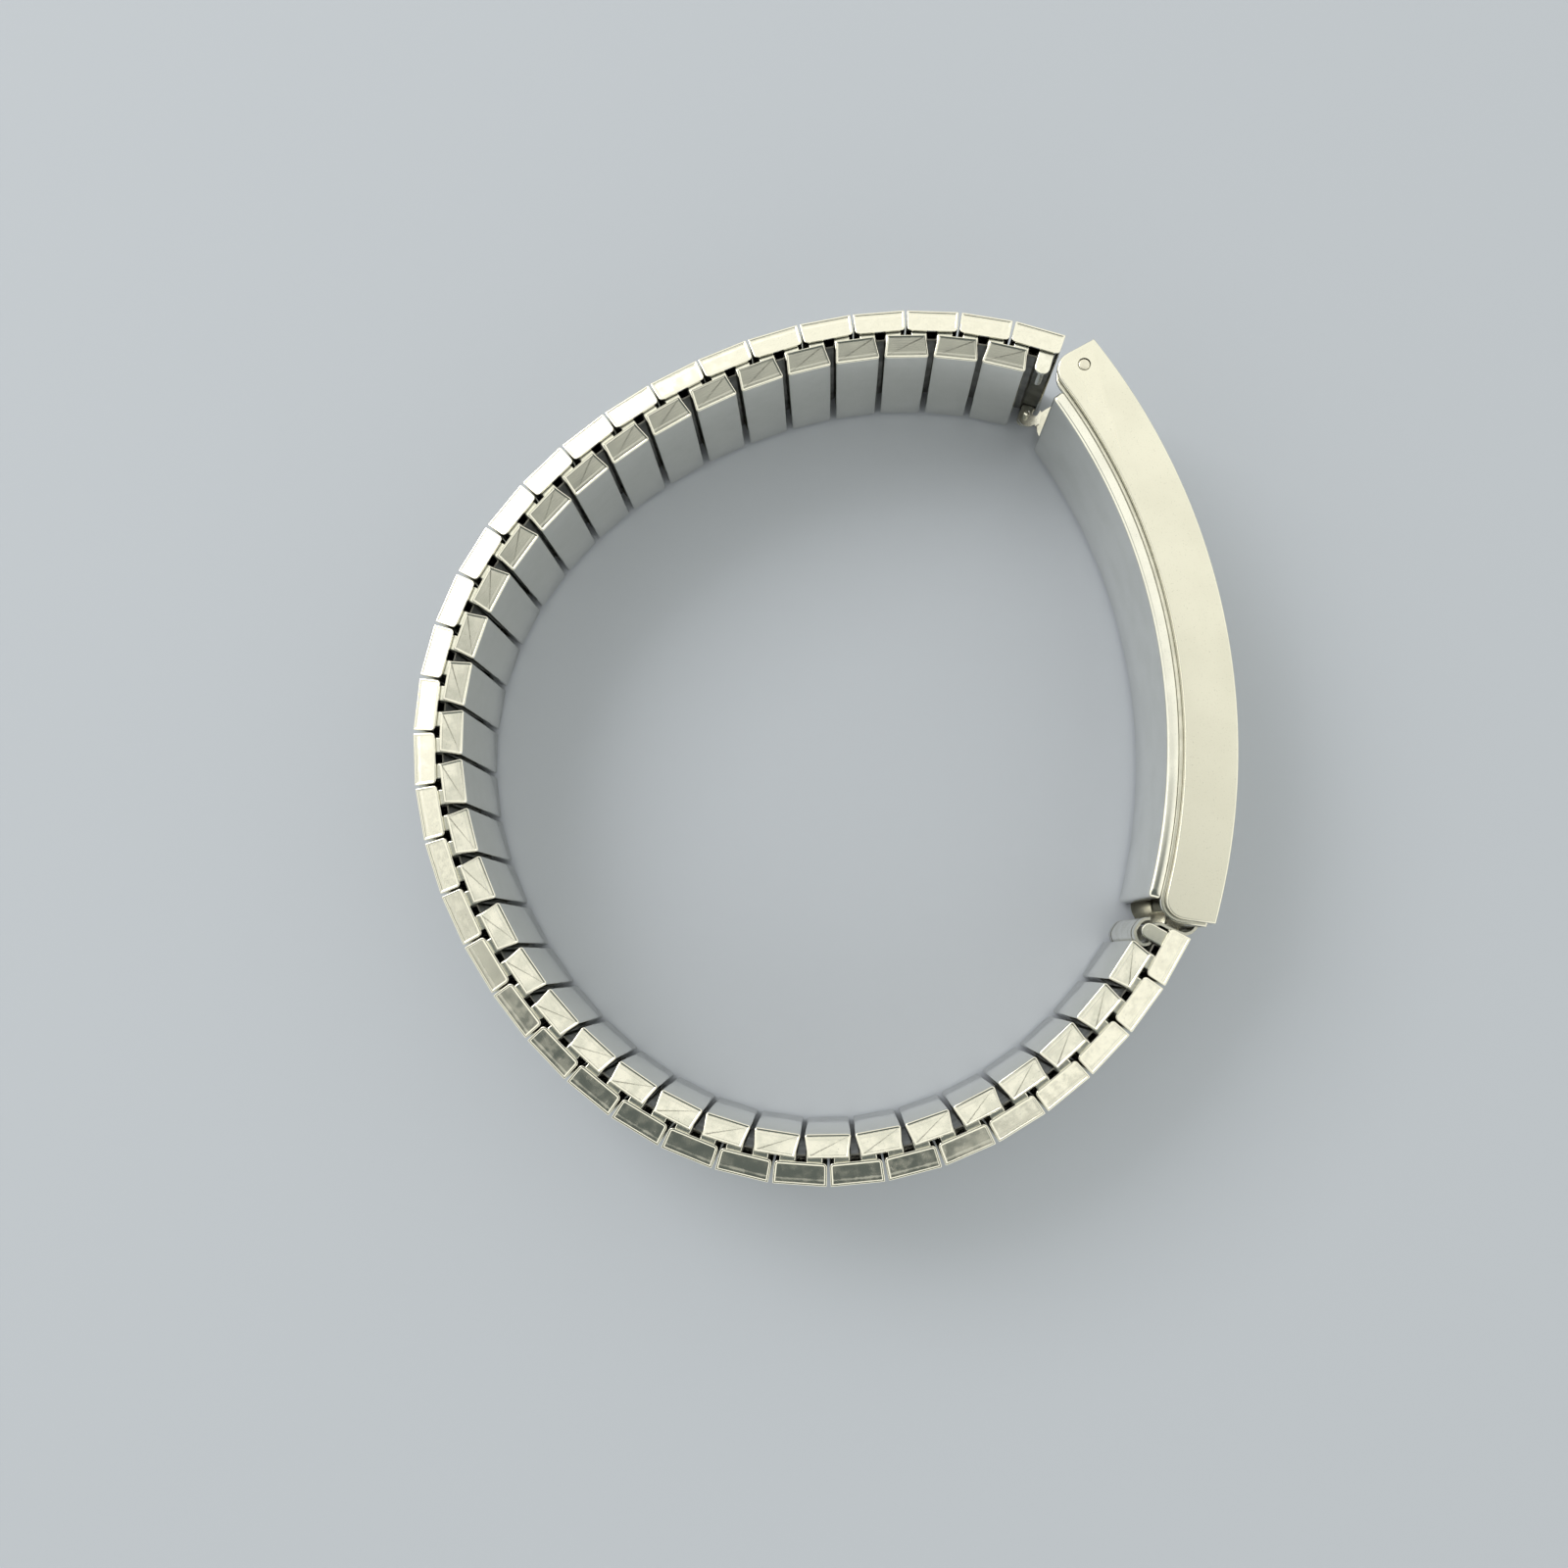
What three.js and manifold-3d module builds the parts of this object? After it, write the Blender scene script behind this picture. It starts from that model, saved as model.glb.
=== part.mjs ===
// Stretch bracelet with a curved plate: two staggered rows of box links joined by U-staples.
// It stands on its edge: Z runs across the band, X from the band to the plate, Y along the plate's chord.
// Units are millimetres. A link's own frame has X along the band and Y towards the wrist.
import * as THREE from "three";
import { mergeVertices } from "three/addons/utils/BufferGeometryUtils.js";
import Module from "manifold-3d";

const wasm = await Module();
wasm.setup();

// Driving dimensions
const bandWidth = 14.6; // every link and the plate, along Z
const pitch = 4.47; // from link to link, on the line between the two rows
const outerCount = 36; // links in the outer row; the inner row has one less
const rowGap = 0.44; // between the outer row and the inner row

const outerDepth = 1.9; // of an outer link, from the row gap outwards
const outerSpacing = 0.15; // between two outer links, on their inner sides
const outerFlare = 0.18; // how much longer an outer link is on its show face
const innerDepth = 1.94;
const innerSpacingAtGap = 1.17; // between two inner links, where the staples' webs pass
const innerSpacingAtWrist = 0.77;
const linkChamfer = 0.3;

const outerWall = 0.35; // the show face's thickness
const outerFlange = 0.25; // an outer link's end faces
const innerFlange = 0.35; // an inner link's end faces
const coreWidth = 6.4; // the casing and leaf spring in the middle of a link, along Z

const legRadius = 0.34; // staple legs
const legLength = 2.9;
const legSides = 6;
const legDepth = 0.92; // from the row gap's middle line to a leg's centre
const endLegDepth = 1.37; // and to the centre of an end staple's leg in its connector
const webWidth = 1.3; // staple webs, along the band
const webThickness = 0.3;
const crimpWidth = 0.5; // of the pad that holds a leg in an outer link
const crimpInset = 0.2; // from the leg's ends to the pad's

const plateRadius = 57.1; // of the plate's show face
const plateChord = 51;
const plateFlangeDepth = 4.46;
const plateWall = 0.5;
const plateEndSlant = 8; // degrees by which each end leans outwards from its outer corner
const plateCornerRadius = 1.9; // of its inner end corners
const linerDepth = 1.15; // the visible back plate
const linerFromUpperEnd = 2; // from the plate's outer end corner to the liner's end, along the plate
const linerFromLowerEnd = 0.8;
const linerGap = 0.3; // between the shell and the liner, each way
const linerInset = 0.35; // the liner's edges lie this far below the shell's
const linerWall = 0.4;
const linerTongue = 2.6; // how far the liner's flanges reach into the shell
const tongueInset = 3.2; // from the liner's ends to the flanges'

const pinRadius = 0.5;
const pinInset = 0.05; // below the shell's edge faces
const pinClearance = 0.14;
const pinFromEnd = 1.3; // from the plate's outer end corner to the pin's centre, along the plate
const pinDepth = 2.05; // from the show face to the pin's centre

const barrelWall = 0.36; // connector sheet
const barrelInset = 1.5; // the connector's ends lie this far inside the band's edges

// Where the band's first and last link corners lie beyond the plate's ends.
const upperEnd = { inward: 3.22, beyond: -1.02 };
const lowerEnd = { inward: 3.8, beyond: -0.52 };

// How the bend departs from an even one round the band, in degrees: [waves, cosine part, sine part]
const bendWaves = [
  [1, 5.1, -1.6],
  [2, 2.35, -0.25],
  [3, -1.9, 0.3],
];

// Worked out from the driving dimensions
const degree = Math.PI / 180;
const outerLengthAtGap = pitch - outerSpacing;
const outerLengthAtFace = outerLengthAtGap + outerFlare;
const innerLengthAtGap = pitch - innerSpacingAtGap;
const innerLengthAtWrist = pitch - innerSpacingAtWrist;
const faceOfOuter = rowGap / 2 + outerDepth;
const faceOfInner = rowGap / 2 + innerDepth;
const legOffset = pitch / 4; // the legs lie evenly along both rows
const plateHalfAngle = Math.asin(plateChord / 2 / plateRadius);
const plateSag = plateRadius * (1 - Math.cos(plateHalfAngle));
const webPastLeg = 0.06;
const webReach = legDepth + legRadius + webPastLeg;
const boreRadius = legRadius + pinClearance;
const hookBore = pinRadius + pinClearance;

const steel = new THREE.MeshStandardMaterial({ color: 0xe9e4d2, metalness: 1, roughness: 0.3 });
const satinSteel = new THREE.MeshStandardMaterial({ color: 0xe6dfc6, metalness: 1, roughness: 0.42 });
const polishedSteel = new THREE.MeshStandardMaterial({ color: 0xf2efe6, metalness: 1, roughness: 0.15 });
const springSteel = new THREE.MeshStandardMaterial({ color: 0xcfccc0, metalness: 1, roughness: 0.35 });

// Solids

function solidOf(geometry) {
  const bare = geometry.clone();
  bare.deleteAttribute("normal");
  bare.deleteAttribute("uv");
  const merged = mergeVertices(bare, 1e-5);
  return new wasm.Manifold(
    new wasm.Mesh({
      numProp: 3,
      vertProperties: merged.attributes.position.array,
      triVerts: new Uint32Array(merged.index.array),
    }),
  );
}

function prism(shape, low, high, curveSegments = 8) {
  const geometry = new THREE.ExtrudeGeometry(shape, {
    depth: high - low,
    bevelEnabled: false,
    curveSegments,
  });
  return solidOf(geometry.translate(0, 0, low));
}

function polygon(points) {
  return new THREE.Shape(points.map(([x, y]) => new THREE.Vector2(x, y)));
}

function box(x0, x1, y0, y1, z0, z1) {
  const geometry = new THREE.BoxGeometry(x1 - x0, y1 - y0, z1 - z0);
  return solidOf(geometry.translate((x0 + x1) / 2, (y0 + y1) / 2, (z0 + z1) / 2));
}

function rod(x, y, radius, low, high, sides) {
  const geometry = new THREE.CylinderGeometry(radius, radius, high - low, sides);
  geometry.rotateX(Math.PI / 2);
  return solidOf(geometry.translate(x, y, (low + high) / 2));
}

function joined(solids) {
  return solids.reduce((whole, next) => whole.add(next));
}

function meshOf(solid, name, material, place) {
  const made = solid.getMesh();
  const positions = new Float32Array(made.numVert * 3);
  for (let i = 0; i < made.numVert; i += 1) {
    positions.set(made.vertProperties.subarray(i * made.numProp, i * made.numProp + 3), i * 3);
  }
  const geometry = new THREE.BufferGeometry();
  geometry.setAttribute("position", new THREE.BufferAttribute(positions, 3));
  geometry.setIndex(new THREE.BufferAttribute(made.triVerts, 1));
  const mesh = new THREE.Mesh(geometry, material);
  mesh.name = name;
  if (place) {
    mesh.position.set(place.x, place.y, 0);
    mesh.rotation.z = place.angle;
  }
  return mesh;
}

// Both edges of the band are alike, so an edge piece is made at the lower edge and again at the upper one.
function atBothEdges(make) {
  return [make(false), make(true)];
}

function edgeSpan(low, high, upper) {
  return upper ? [bandWidth - high, bandWidth - low] : [low, high];
}

// The band's line: a chain of equal pitches whose bend follows bendWaves and which meets the plate at both ends

function platePoint(angle, depth) {
  const r = plateRadius - depth;
  return { x: r * Math.cos(angle) - plateRadius + plateSag, y: r * Math.sin(angle) };
}

const bandStart = { x: -upperEnd.inward, y: plateChord / 2 + upperEnd.beyond };
const bandEnd = { x: -lowerEnd.inward, y: -plateChord / 2 - lowerEnd.beyond };

function linkAngle(index, middle, turn) {
  const u = (index + 0.5) / outerCount;
  const wave = ([n, c, s]) => c * Math.cos(2 * Math.PI * n * u) + s * Math.sin(2 * Math.PI * n * u);
  return middle + turn * (u - 0.5) + degree * bendWaves.reduce((sum, w) => sum + wave(w), 0);
}

function chain(middle, turn) {
  const corners = [bandStart];
  for (let i = 0; i < outerCount; i += 1) {
    const angle = linkAngle(i, middle, turn);
    const last = corners[i];
    corners.push({ x: last.x + pitch * Math.cos(angle), y: last.y + pitch * Math.sin(angle) });
  }
  return corners;
}

// Newton's method, from a band that runs straight back along the plate's chord and turns by three quarters
function solveBand() {
  let middle = 270 * degree;
  let turn = 270 * degree;
  const miss = (m, t) => {
    const end = chain(m, t)[outerCount];
    return [end.x - bandEnd.x, end.y - bandEnd.y];
  };
  const step = 1e-6;
  for (let round = 0; round < 40; round += 1) {
    const [x, y] = miss(middle, turn);
    const [xm, ym] = miss(middle + step, turn);
    const [xt, yt] = miss(middle, turn + step);
    const a = (xm - x) / step;
    const b = (xt - x) / step;
    const c = (ym - y) / step;
    const d = (yt - y) / step;
    const determinant = a * d - b * c;
    const dMiddle = (x * d - b * y) / determinant;
    const dTurn = (a * y - c * x) / determinant;
    const damping = Math.min(1, 0.2 / Math.hypot(dMiddle, dTurn));
    middle -= damping * dMiddle;
    turn -= damping * dTurn;
  }
  return { middle, turn };
}

const { middle, turn } = solveBand();
const corners = chain(middle, turn);

// Outer link k (from 1) lies between corners k-1 and k, and inner link k lies across corner k.
function outerPlace(k) {
  const a = corners[k - 1];
  const b = corners[k];
  return { x: (a.x + b.x) / 2, y: (a.y + b.y) / 2, angle: linkAngle(k - 1, middle, turn) };
}

function innerPlace(k) {
  const angle = (linkAngle(k - 1, middle, turn) + linkAngle(k, middle, turn)) / 2;
  return { x: corners[k].x, y: corners[k].y, angle };
}

// A point given in a link's own frame, in the part's frame
function worldPoint(place, x, y) {
  const c = Math.cos(place.angle);
  const s = Math.sin(place.angle);
  return { x: place.x + x * c - y * s, y: place.y + x * s + y * c };
}

// Links

function outerShape() {
  const gapSide = -rowGap / 2;
  const atGap = outerLengthAtGap / 2;
  const atFace = outerLengthAtFace / 2;
  return polygon([
    [-atGap, gapSide],
    [-atFace, linkChamfer - faceOfOuter],
    [linkChamfer - atFace, -faceOfOuter],
    [atFace - linkChamfer, -faceOfOuter],
    [atFace, linkChamfer - faceOfOuter],
    [atGap, gapSide],
  ]);
}

function innerShape() {
  const atGap = innerLengthAtGap / 2;
  const atWrist = innerLengthAtWrist / 2;
  return polygon([
    [-atGap, rowGap / 2],
    [atGap, rowGap / 2],
    [atWrist, faceOfInner - linkChamfer],
    [atWrist - linkChamfer, faceOfInner],
    [linkChamfer - atWrist, faceOfInner],
    [-atWrist, faceOfInner - linkChamfer],
  ]);
}

// The channels that the outer legs lie in, open to the row gap and at both ends of the link
function outerLinkSolid() {
  const core = (bandWidth - coreWidth) / 2;
  const half = Math.max(outerLengthAtFace, outerLengthAtGap);
  const channels = atBothEdges((upper) => {
    const [z0, z1] = edgeSpan(outerFlange, core, upper);
    return box(-half, half, outerWall - faceOfOuter, 0, z0, z1);
  });
  return channels.reduce((link, channel) => link.subtract(channel), prism(outerShape(), 0, bandWidth));
}

// A pad that holds a staple's outer leg to the show face's inner side
function crimps(x) {
  return atBothEdges((upper) => {
    const low = innerFlange + webThickness;
    const [z0, z1] = edgeSpan(low + crimpInset, low + legLength - crimpInset, upper);
    const top = outerWall / 2 - faceOfOuter;
    return box(x - crimpWidth / 2, x + crimpWidth / 2, top, -legDepth, z0, z1);
  });
}

// The staples' webs and outer legs at one side of a link; to is how far a web reaches towards the wrist.
function staples(x, to) {
  return atBothEdges((upper) => {
    const inner = innerFlange + webThickness;
    const web = edgeSpan(innerFlange, inner, upper);
    const leg = edgeSpan(innerFlange + webThickness / 2, inner + legLength, upper);
    return joined([
      box(x - webWidth / 2, x + webWidth / 2, -webReach, to, ...web),
      rod(x, -legDepth, legRadius, ...leg, legSides),
    ]);
  });
}

// An inner link holds the inner legs of its four staples, so they are one solid with it.
function innerLinkSolid() {
  const seated = rowGap / 2 + webThickness;
  return joined([prism(innerShape(), 0, bandWidth), ...staples(-legOffset, seated), ...staples(legOffset, seated)]);
}

// An end link holds the outer legs of the staples that join it to its connector.
function endLinkSolid(side) {
  const x = side * legOffset;
  const innerLegs = atBothEdges((upper) => {
    const span = edgeSpan(innerFlange + webThickness / 2, innerFlange + webThickness + legLength, upper);
    return rod(x, endLegDepth, legRadius, ...span, legSides);
  });
  const reach = endLegDepth + legRadius + webPastLeg;
  return joined([outerLinkSolid(), ...crimps(x), ...staples(x, reach), ...innerLegs]);
}

function placed(solid, place, frame) {
  const c = Math.cos(frame.angle);
  const s = Math.sin(frame.angle);
  const dx = place.x - frame.x;
  const dy = place.y - frame.y;
  return solid
    .rotate([0, 0, (place.angle - frame.angle) / degree])
    .translate([dx * c + dy * s, dy * c - dx * s, 0]);
}

// Outer link k and its neighbour in the inner row, with the staples between them crimped
function pairSolid(k, innerIndex) {
  const frame = innerPlace(innerIndex);
  const side = innerIndex === k ? legOffset : -legOffset;
  const outer = joined([outerLinkSolid(), ...crimps(side)]);
  return innerLinkSolid().add(placed(outer, outerPlace(k), frame));
}

// Plate

const plateSteps = 20; // straight pieces along the plate's curve
const cornerSteps = 5; // and round its inner end corners

// A piece of a ring round the plate's centre, from one angle to the other and between two depths. A slant makes
// its ends lean outwards with depth, and a radius rounds its inner corners.
function sector(from, to, depthOut, depthIn, slant = 0, cornerRadius = 0) {
  const outer = plateRadius - depthOut;
  const inner = plateRadius - depthIn;
  const centre = plateSag - plateRadius;
  const lean = Math.tan(slant * degree);
  const end = (side, r, back) => {
    const a = (side > 0 ? to : from) + (side * ((outer - r) * lean - back)) / r;
    return [centre + r * Math.cos(a), r * Math.sin(a)];
  };
  const along = (r, back) => {
    const low = end(-1, r, back);
    const high = end(1, r, back);
    const first = Math.atan2(low[1], low[0] - centre);
    const last = Math.atan2(high[1], high[0] - centre);
    const points = [];
    for (let i = 0; i <= plateSteps; i += 1) {
      const a = first + ((last - first) * i) / plateSteps;
      points.push([centre + r * Math.cos(a), r * Math.sin(a)]);
    }
    return points;
  };
  const corner = (side) => {
    const points = [];
    for (let i = 0; i < cornerSteps && cornerRadius > 0; i += 1) {
      const a = ((i / cornerSteps) * Math.PI) / 2;
      points.push(end(side, inner + cornerRadius * (1 - Math.sin(a)), cornerRadius * (1 - Math.cos(a))));
    }
    return points;
  };
  return polygon([
    ...along(outer, 0),
    ...corner(1),
    ...along(inner, cornerRadius).reverse(),
    ...corner(-1).reverse(),
  ]);
}

const pinAngle = plateHalfAngle - pinFromEnd / (plateRadius - pinDepth);
const pins = { upper: platePoint(pinAngle, pinDepth), lower: platePoint(-pinAngle, pinDepth) };

// The shell is open towards the wrist and at both ends, so its pocket is cut well past them.
function plateShellSolid() {
  const a = plateHalfAngle;
  const whole = prism(sector(-a, a, 0, plateFlangeDepth, plateEndSlant, plateCornerRadius), 0, bandWidth);
  const pastEnds = a + plateFlangeDepth / plateRadius;
  const pastFlanges = 2 * plateFlangeDepth;
  const pocket = prism(sector(-pastEnds, pastEnds, plateWall, pastFlanges), plateWall, bandWidth - plateWall);
  const holes = Object.values(pins).map((p) => rod(p.x, p.y, hookBore, -1, bandWidth + 1, 16));
  return holes.reduce((shell, hole) => shell.subtract(hole), whole.subtract(pocket));
}

function plateLinerSolid() {
  const depth = plateFlangeDepth + linerGap;
  const from = linerFromLowerEnd / plateRadius - plateHalfAngle;
  const to = plateHalfAngle - linerFromUpperEnd / plateRadius;
  const back = prism(sector(from, to, depth, depth + linerDepth), linerInset, bandWidth - linerInset);
  const inset = tongueInset / plateRadius;
  const tongues = atBothEdges((upper) => {
    const low = plateWall + linerGap;
    const [z0, z1] = edgeSpan(low, low + linerWall, upper);
    return prism(sector(from + inset, to - inset, depth - linerTongue, depth + linerWall), z0, z1);
  });
  return joined([back, ...tongues]);
}

function pinSolid(p) {
  return rod(p.x, p.y, pinRadius, pinInset, bandWidth - pinInset, 12);
}

// A connector: one strip of sheet curled round the plate's pin at one end and the end staples' legs at the other
function connectorSolid(pin, leg) {
  const low = barrelInset;
  const high = bandWidth - barrelInset;
  const dx = leg.x - pin.x;
  const dy = leg.y - pin.y;
  const length = Math.hypot(dx, dy);
  const hook = rod(0, 0, hookBore + barrelWall, low, high, 16);
  const curl = rod(length, 0, boreRadius + barrelWall, low, high, 16);
  const arm = box(0, length, -barrelWall / 2, barrelWall / 2, low, high);
  const bores = [
    rod(0, 0, hookBore, low - 1, high + 1, 16),
    rod(length, 0, boreRadius, low - 1, high + 1, 16),
  ];
  const whole = joined([hook, curl, arm]);
  const made = bores.reduce((part, bore) => part.subtract(bore), whole);
  return made.rotate([0, 0, Math.atan2(dy, dx) / degree]).translate([pin.x, pin.y, 0]);
}

// Assembly

const bracelet = new THREE.Group();
bracelet.name = "stretch_bracelet";

const plate = new THREE.Group();
plate.add(
  meshOf(plateShellSolid(), "plate_shell", satinSteel),
  meshOf(plateLinerSolid(), "plate_liner", polishedSteel),
  meshOf(pinSolid(pins.upper), "pin_upper", steel),
  meshOf(pinSolid(pins.lower), "pin_lower", steel),
);

const firstLeg = worldPoint(outerPlace(1), -legOffset, endLegDepth);
const lastLeg = worldPoint(outerPlace(outerCount), legOffset, endLegDepth);
const connectors = new THREE.Group();
connectors.add(
  meshOf(connectorSolid(pins.upper, firstLeg), "connector_upper", springSteel),
  meshOf(connectorSolid(pins.lower, lastLeg), "connector_lower", springSteel),
);

const number = (k) => String(k).padStart(2, "0");
const openAt = outerCount / 2; // the loop's open pivot: inner link openAt and outer link openAt + 1

// The upper arm runs from the plate's upper end: an outer link, an inner link, then a pair, over and over.
const upperArm = new THREE.Group();
for (let k = 1; k <= openAt; k += 2) {
  const end = k === 1 ? endLinkSolid(-1) : outerLinkSolid();
  upperArm.add(
    meshOf(end, `outer_link_${number(k)}`, steel, outerPlace(k)),
    meshOf(innerLinkSolid(), `inner_link_${number(k)}`, polishedSteel, innerPlace(k)),
    meshOf(pairSolid(k + 1, k + 1), `link_pair_${number(k + 1)}`, steel, innerPlace(k + 1)),
  );
}

// The lower arm runs from the plate's lower end and ends in a lone outer link at the open pivot.
const lowerArm = new THREE.Group();
for (let k = outerCount; k > openAt + 1; k -= 2) {
  const end = k === outerCount ? endLinkSolid(1) : outerLinkSolid();
  lowerArm.add(
    meshOf(end, `outer_link_${number(k)}`, steel, outerPlace(k)),
    meshOf(innerLinkSolid(), `inner_link_${number(k - 1)}`, polishedSteel, innerPlace(k - 1)),
  );
  if (k - 2 > openAt) {
    lowerArm.add(meshOf(pairSolid(k - 1, k - 2), `link_pair_${number(k - 1)}`, steel, innerPlace(k - 2)));
  }
}
const loneLink = openAt + 1;
lowerArm.add(meshOf(outerLinkSolid(), `outer_link_${number(loneLink)}`, steel, outerPlace(loneLink)));

bracelet.add(plate, connectors, upperArm, lowerArm);

// The origin is under the middle of the whole bracelet.
const middleOfAll = new THREE.Box3().setFromObject(bracelet).getCenter(new THREE.Vector3());
bracelet.position.set(-middleOfAll.x, -middleOfAll.y, 0);

export default bracelet;
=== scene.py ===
# Expansion bracelet with a curved plate, standing on its edge: two staggered rows of box links on staples.
# Lengths in the dictionaries are millimetres, angles are degrees.
import bpy, bmesh, math
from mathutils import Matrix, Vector


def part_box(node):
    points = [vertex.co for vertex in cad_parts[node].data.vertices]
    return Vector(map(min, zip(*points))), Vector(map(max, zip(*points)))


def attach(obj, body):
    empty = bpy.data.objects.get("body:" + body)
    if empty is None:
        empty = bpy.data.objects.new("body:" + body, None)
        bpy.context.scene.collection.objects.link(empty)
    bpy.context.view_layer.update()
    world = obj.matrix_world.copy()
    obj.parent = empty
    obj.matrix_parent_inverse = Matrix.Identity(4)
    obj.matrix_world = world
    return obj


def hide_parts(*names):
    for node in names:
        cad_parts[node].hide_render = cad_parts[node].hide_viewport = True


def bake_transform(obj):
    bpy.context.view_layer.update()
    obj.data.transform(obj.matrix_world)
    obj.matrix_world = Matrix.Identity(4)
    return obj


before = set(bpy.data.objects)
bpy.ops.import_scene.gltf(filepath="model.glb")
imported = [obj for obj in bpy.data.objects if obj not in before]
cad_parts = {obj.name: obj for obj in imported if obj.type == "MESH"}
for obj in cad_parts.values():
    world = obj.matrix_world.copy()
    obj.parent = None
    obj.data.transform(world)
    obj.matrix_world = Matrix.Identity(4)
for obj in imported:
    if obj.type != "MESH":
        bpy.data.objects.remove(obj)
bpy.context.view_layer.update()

mm = 0.001
scene = bpy.context.scene

# Camera, floor and light

viewSettings = {"place": (-2.4622, -17.5957, 145.355), "turn": (6.2419, 1.7793, -10.0779), "lens": 36}

lens = bpy.data.cameras.new("camera")
lens.lens = viewSettings["lens"]
lens.sensor_width = 36
lens.clip_start = 0.01
camera = bpy.data.objects.new("camera", lens)
camera.location = Vector(viewSettings["place"]) * mm
camera.rotation_euler = [math.radians(a) for a in viewSettings["turn"]]
scene.collection.objects.link(camera)
scene.camera = camera

studio = {
    "floorSize": 3000,
    "floorColour": (0.44, 0.48, 0.57, 1),
    "skyColour": (1.0, 0.985, 0.86, 1),
    "skyStrength": 1.12,
    "dimColour": (0.105, 0.12, 0.11, 1),
    "across": (0.178, 0.984, 0.0),
    "sideways": (0.984, -0.178, 0.0),
    "upwards": (0.0, 0.0, 1.0),
    "dimEdges": (  # direction, and how far along it the sky is pale and dim
        ("across", 0.14, 0.05), ("across", -0.75, -0.55),
        ("sideways", 0.30, 0.18), ("sideways", -0.53, -0.41), ("upwards", 0.45, 0.65),
    ),
    "keyPower": 3.0,
    "keySize": 450,
    "keyPlace": (-420, 520, 620),
    "keyColour": (1, 0.96, 0.88),
    "floorRough": 0.85,
}


def link(tree, output, target):
    tree.links.new(output, target)


# The sky is a pale dome with one dim, soft-edged patch
def makeSky():
    world = bpy.data.worlds.new("studioSky")
    world.use_nodes = True
    scene.world = world
    tree = world.node_tree
    nodes = tree.nodes
    nodes.clear()
    place = nodes.new("ShaderNodeTexCoord")
    dim = None
    for direction, pale, dark in studio["dimEdges"]:
        along = nodes.new("ShaderNodeVectorMath")
        along.operation = "DOT_PRODUCT"
        along.inputs[1].default_value = studio[direction]
        link(tree, place.outputs["Generated"], along.inputs[0])
        fade = nodes.new("ShaderNodeMapRange")
        fade.interpolation_type = "SMOOTHSTEP"
        fade.inputs["From Min"].default_value = pale
        fade.inputs["From Max"].default_value = dark
        link(tree, along.outputs["Value"], fade.inputs["Value"])
        if dim is None:
            dim = fade.outputs[0]
            continue
        both = nodes.new("ShaderNodeMath")
        both.operation = "MULTIPLY"
        link(tree, dim, both.inputs[0])
        link(tree, fade.outputs[0], both.inputs[1])
        dim = both.outputs[0]
    mix = nodes.new("ShaderNodeMix")
    mix.data_type = "RGBA"
    mix.inputs["A"].default_value = studio["skyColour"]
    mix.inputs["B"].default_value = studio["dimColour"]
    link(tree, dim, mix.inputs["Factor"])
    glow = nodes.new("ShaderNodeBackground")
    glow.inputs["Strength"].default_value = studio["skyStrength"]
    link(tree, mix.outputs["Result"], glow.inputs["Color"])
    end = nodes.new("ShaderNodeOutputWorld")
    link(tree, glow.outputs[0], end.inputs["Surface"])


def makeKeyLight():
    light = bpy.data.lights.new("softKey", "AREA")
    light.energy = studio["keyPower"]
    light.size = studio["keySize"] * mm
    light.color = studio["keyColour"]
    key = bpy.data.objects.new("softKey", light)
    key.location = Vector(studio["keyPlace"]) * mm
    key.rotation_euler = (Vector((0, 0, 0)) - key.location).to_track_quat("-Z", "Y").to_euler()
    scene.collection.objects.link(key)


def makeFloor():
    half = studio["floorSize"] * mm / 2
    mesh = bpy.data.meshes.new("floor")
    square = [(-half, -half, 0), (half, -half, 0), (half, half, 0), (-half, half, 0)]
    mesh.from_pydata(square, [], [(0, 1, 2, 3)])
    floor = bpy.data.objects.new("floor", mesh)
    paint = bpy.data.materials.new("floorPaint")
    paint.use_nodes = True
    shader = paint.node_tree.nodes["Principled BSDF"]
    shader.inputs["Base Color"].default_value = studio["floorColour"]
    shader.inputs["Roughness"].default_value = studio["floorRough"]
    mesh.materials.append(paint)
    scene.collection.objects.link(floor)


makeSky()
makeKeyLight()
makeFloor()
scene.view_settings.view_transform = "Standard"
print("camera, floor and light")

# Shader effects that several finishes share


def newGroup(name, inputs, outputs):
    tree = bpy.data.node_groups.new(name, "ShaderNodeTree")
    for label, kind, value in inputs:
        socket = tree.interface.new_socket(label, in_out="INPUT", socket_type=kind)
        if value is not None:
            socket.default_value = value
    for label, kind in outputs:
        tree.interface.new_socket(label, in_out="OUTPUT", socket_type=kind)
    return tree, tree.nodes.new("NodeGroupInput"), tree.nodes.new("NodeGroupOutput")


def mathNode(tree, operation, first, second):
    node = tree.nodes.new("ShaderNodeMath")
    node.operation = operation
    for socket, value in zip(node.inputs, (first, second)):
        if isinstance(value, (int, float)):
            socket.default_value = value
        elif value is not None:
            link(tree, value, socket)
    return node.outputs[0]


def noiseNode(tree, place, scale, detail, stretch=None):
    if stretch is not None:
        squeeze = tree.nodes.new("ShaderNodeVectorMath")
        squeeze.operation = "MULTIPLY"
        link(tree, place, squeeze.inputs[0])
        if isinstance(stretch, tuple):
            squeeze.inputs[1].default_value = stretch
        else:
            link(tree, stretch, squeeze.inputs[1])
        place = squeeze.outputs[0]
    node = tree.nodes.new("ShaderNodeTexNoise")
    node.inputs["Detail"].default_value = detail
    link(tree, place, node.inputs["Vector"])
    if isinstance(scale, (int, float)):
        node.inputs["Scale"].default_value = scale
    else:
        link(tree, scale, node.inputs["Scale"])
    return node.outputs["Fac"]


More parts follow.
